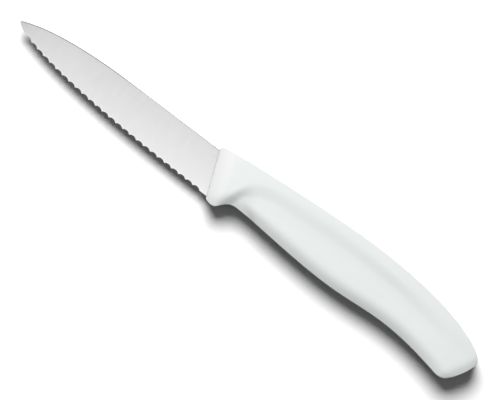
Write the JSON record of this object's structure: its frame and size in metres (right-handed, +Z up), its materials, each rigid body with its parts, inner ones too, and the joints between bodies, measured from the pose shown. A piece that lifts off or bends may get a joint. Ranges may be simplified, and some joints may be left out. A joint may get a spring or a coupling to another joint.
{
  "type": "serrated paring knife",
  "caption": "Small kitchen knife with a thin pointed blade, a finely scalloped edge and a moulded plastic handle with a finger guard and a hooked butt.",
  "frame": {"origin": "under the middle of the knife as it lies on its side, on the surface that it lies on", "axes": "+X along the knife from the tip to the butt, +Y across it towards the spine, +Z up through its thickness, with the blade's left face up"},
  "size_m": [0.186, 0.0228, 0.0124],
  "materials": {
    "blade_steel": "satin ground stainless steel with fine lines and a bright ground edge",
    "handle_plastic": "white polypropylene with a satin moulded surface"
  },
  "bodies": {
    "root": {"blade": "blade_steel", "handle": "handle_plastic"}
  },
  "joints": []
}
